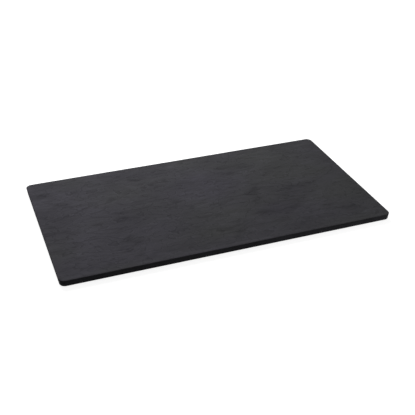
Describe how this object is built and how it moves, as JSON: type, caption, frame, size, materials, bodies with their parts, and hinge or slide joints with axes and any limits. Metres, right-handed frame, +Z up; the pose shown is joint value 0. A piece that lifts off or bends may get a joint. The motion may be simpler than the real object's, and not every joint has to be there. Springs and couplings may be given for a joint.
{
  "type": "melamine tray",
  "caption": "Slim rectangular serving tray in dark slate-effect melamine, flat on top with a drawn-in edge, a hollow underside and stuck-on non-slip feet.",
  "frame": {"origin": "on the surface that the feet stand on, under the middle of the tray", "axes": "+X along the length, +Y along the width to the rear, +Z up out of the serving face"},
  "size_m": [0.325, 0.176, 0.0072],
  "materials": {
    "melamine": "matt moulded melamine with a riven slate relief on top",
    "silicone_rubber": "matt moulded silicone rubber",
    "acrylic_adhesive": "cloudy acrylic adhesive film"
  },
  "bodies": {
    "root": {"tray_body": "melamine", "foot_front_left": "silicone_rubber", "foot_front_right": "silicone_rubber", "foot_rear_left": "silicone_rubber", "foot_rear_right": "silicone_rubber", "adhesive_front_left": "acrylic_adhesive", "adhesive_front_right": "acrylic_adhesive", "adhesive_rear_left": "acrylic_adhesive", "adhesive_rear_right": "acrylic_adhesive"}
  },
  "joints": []
}
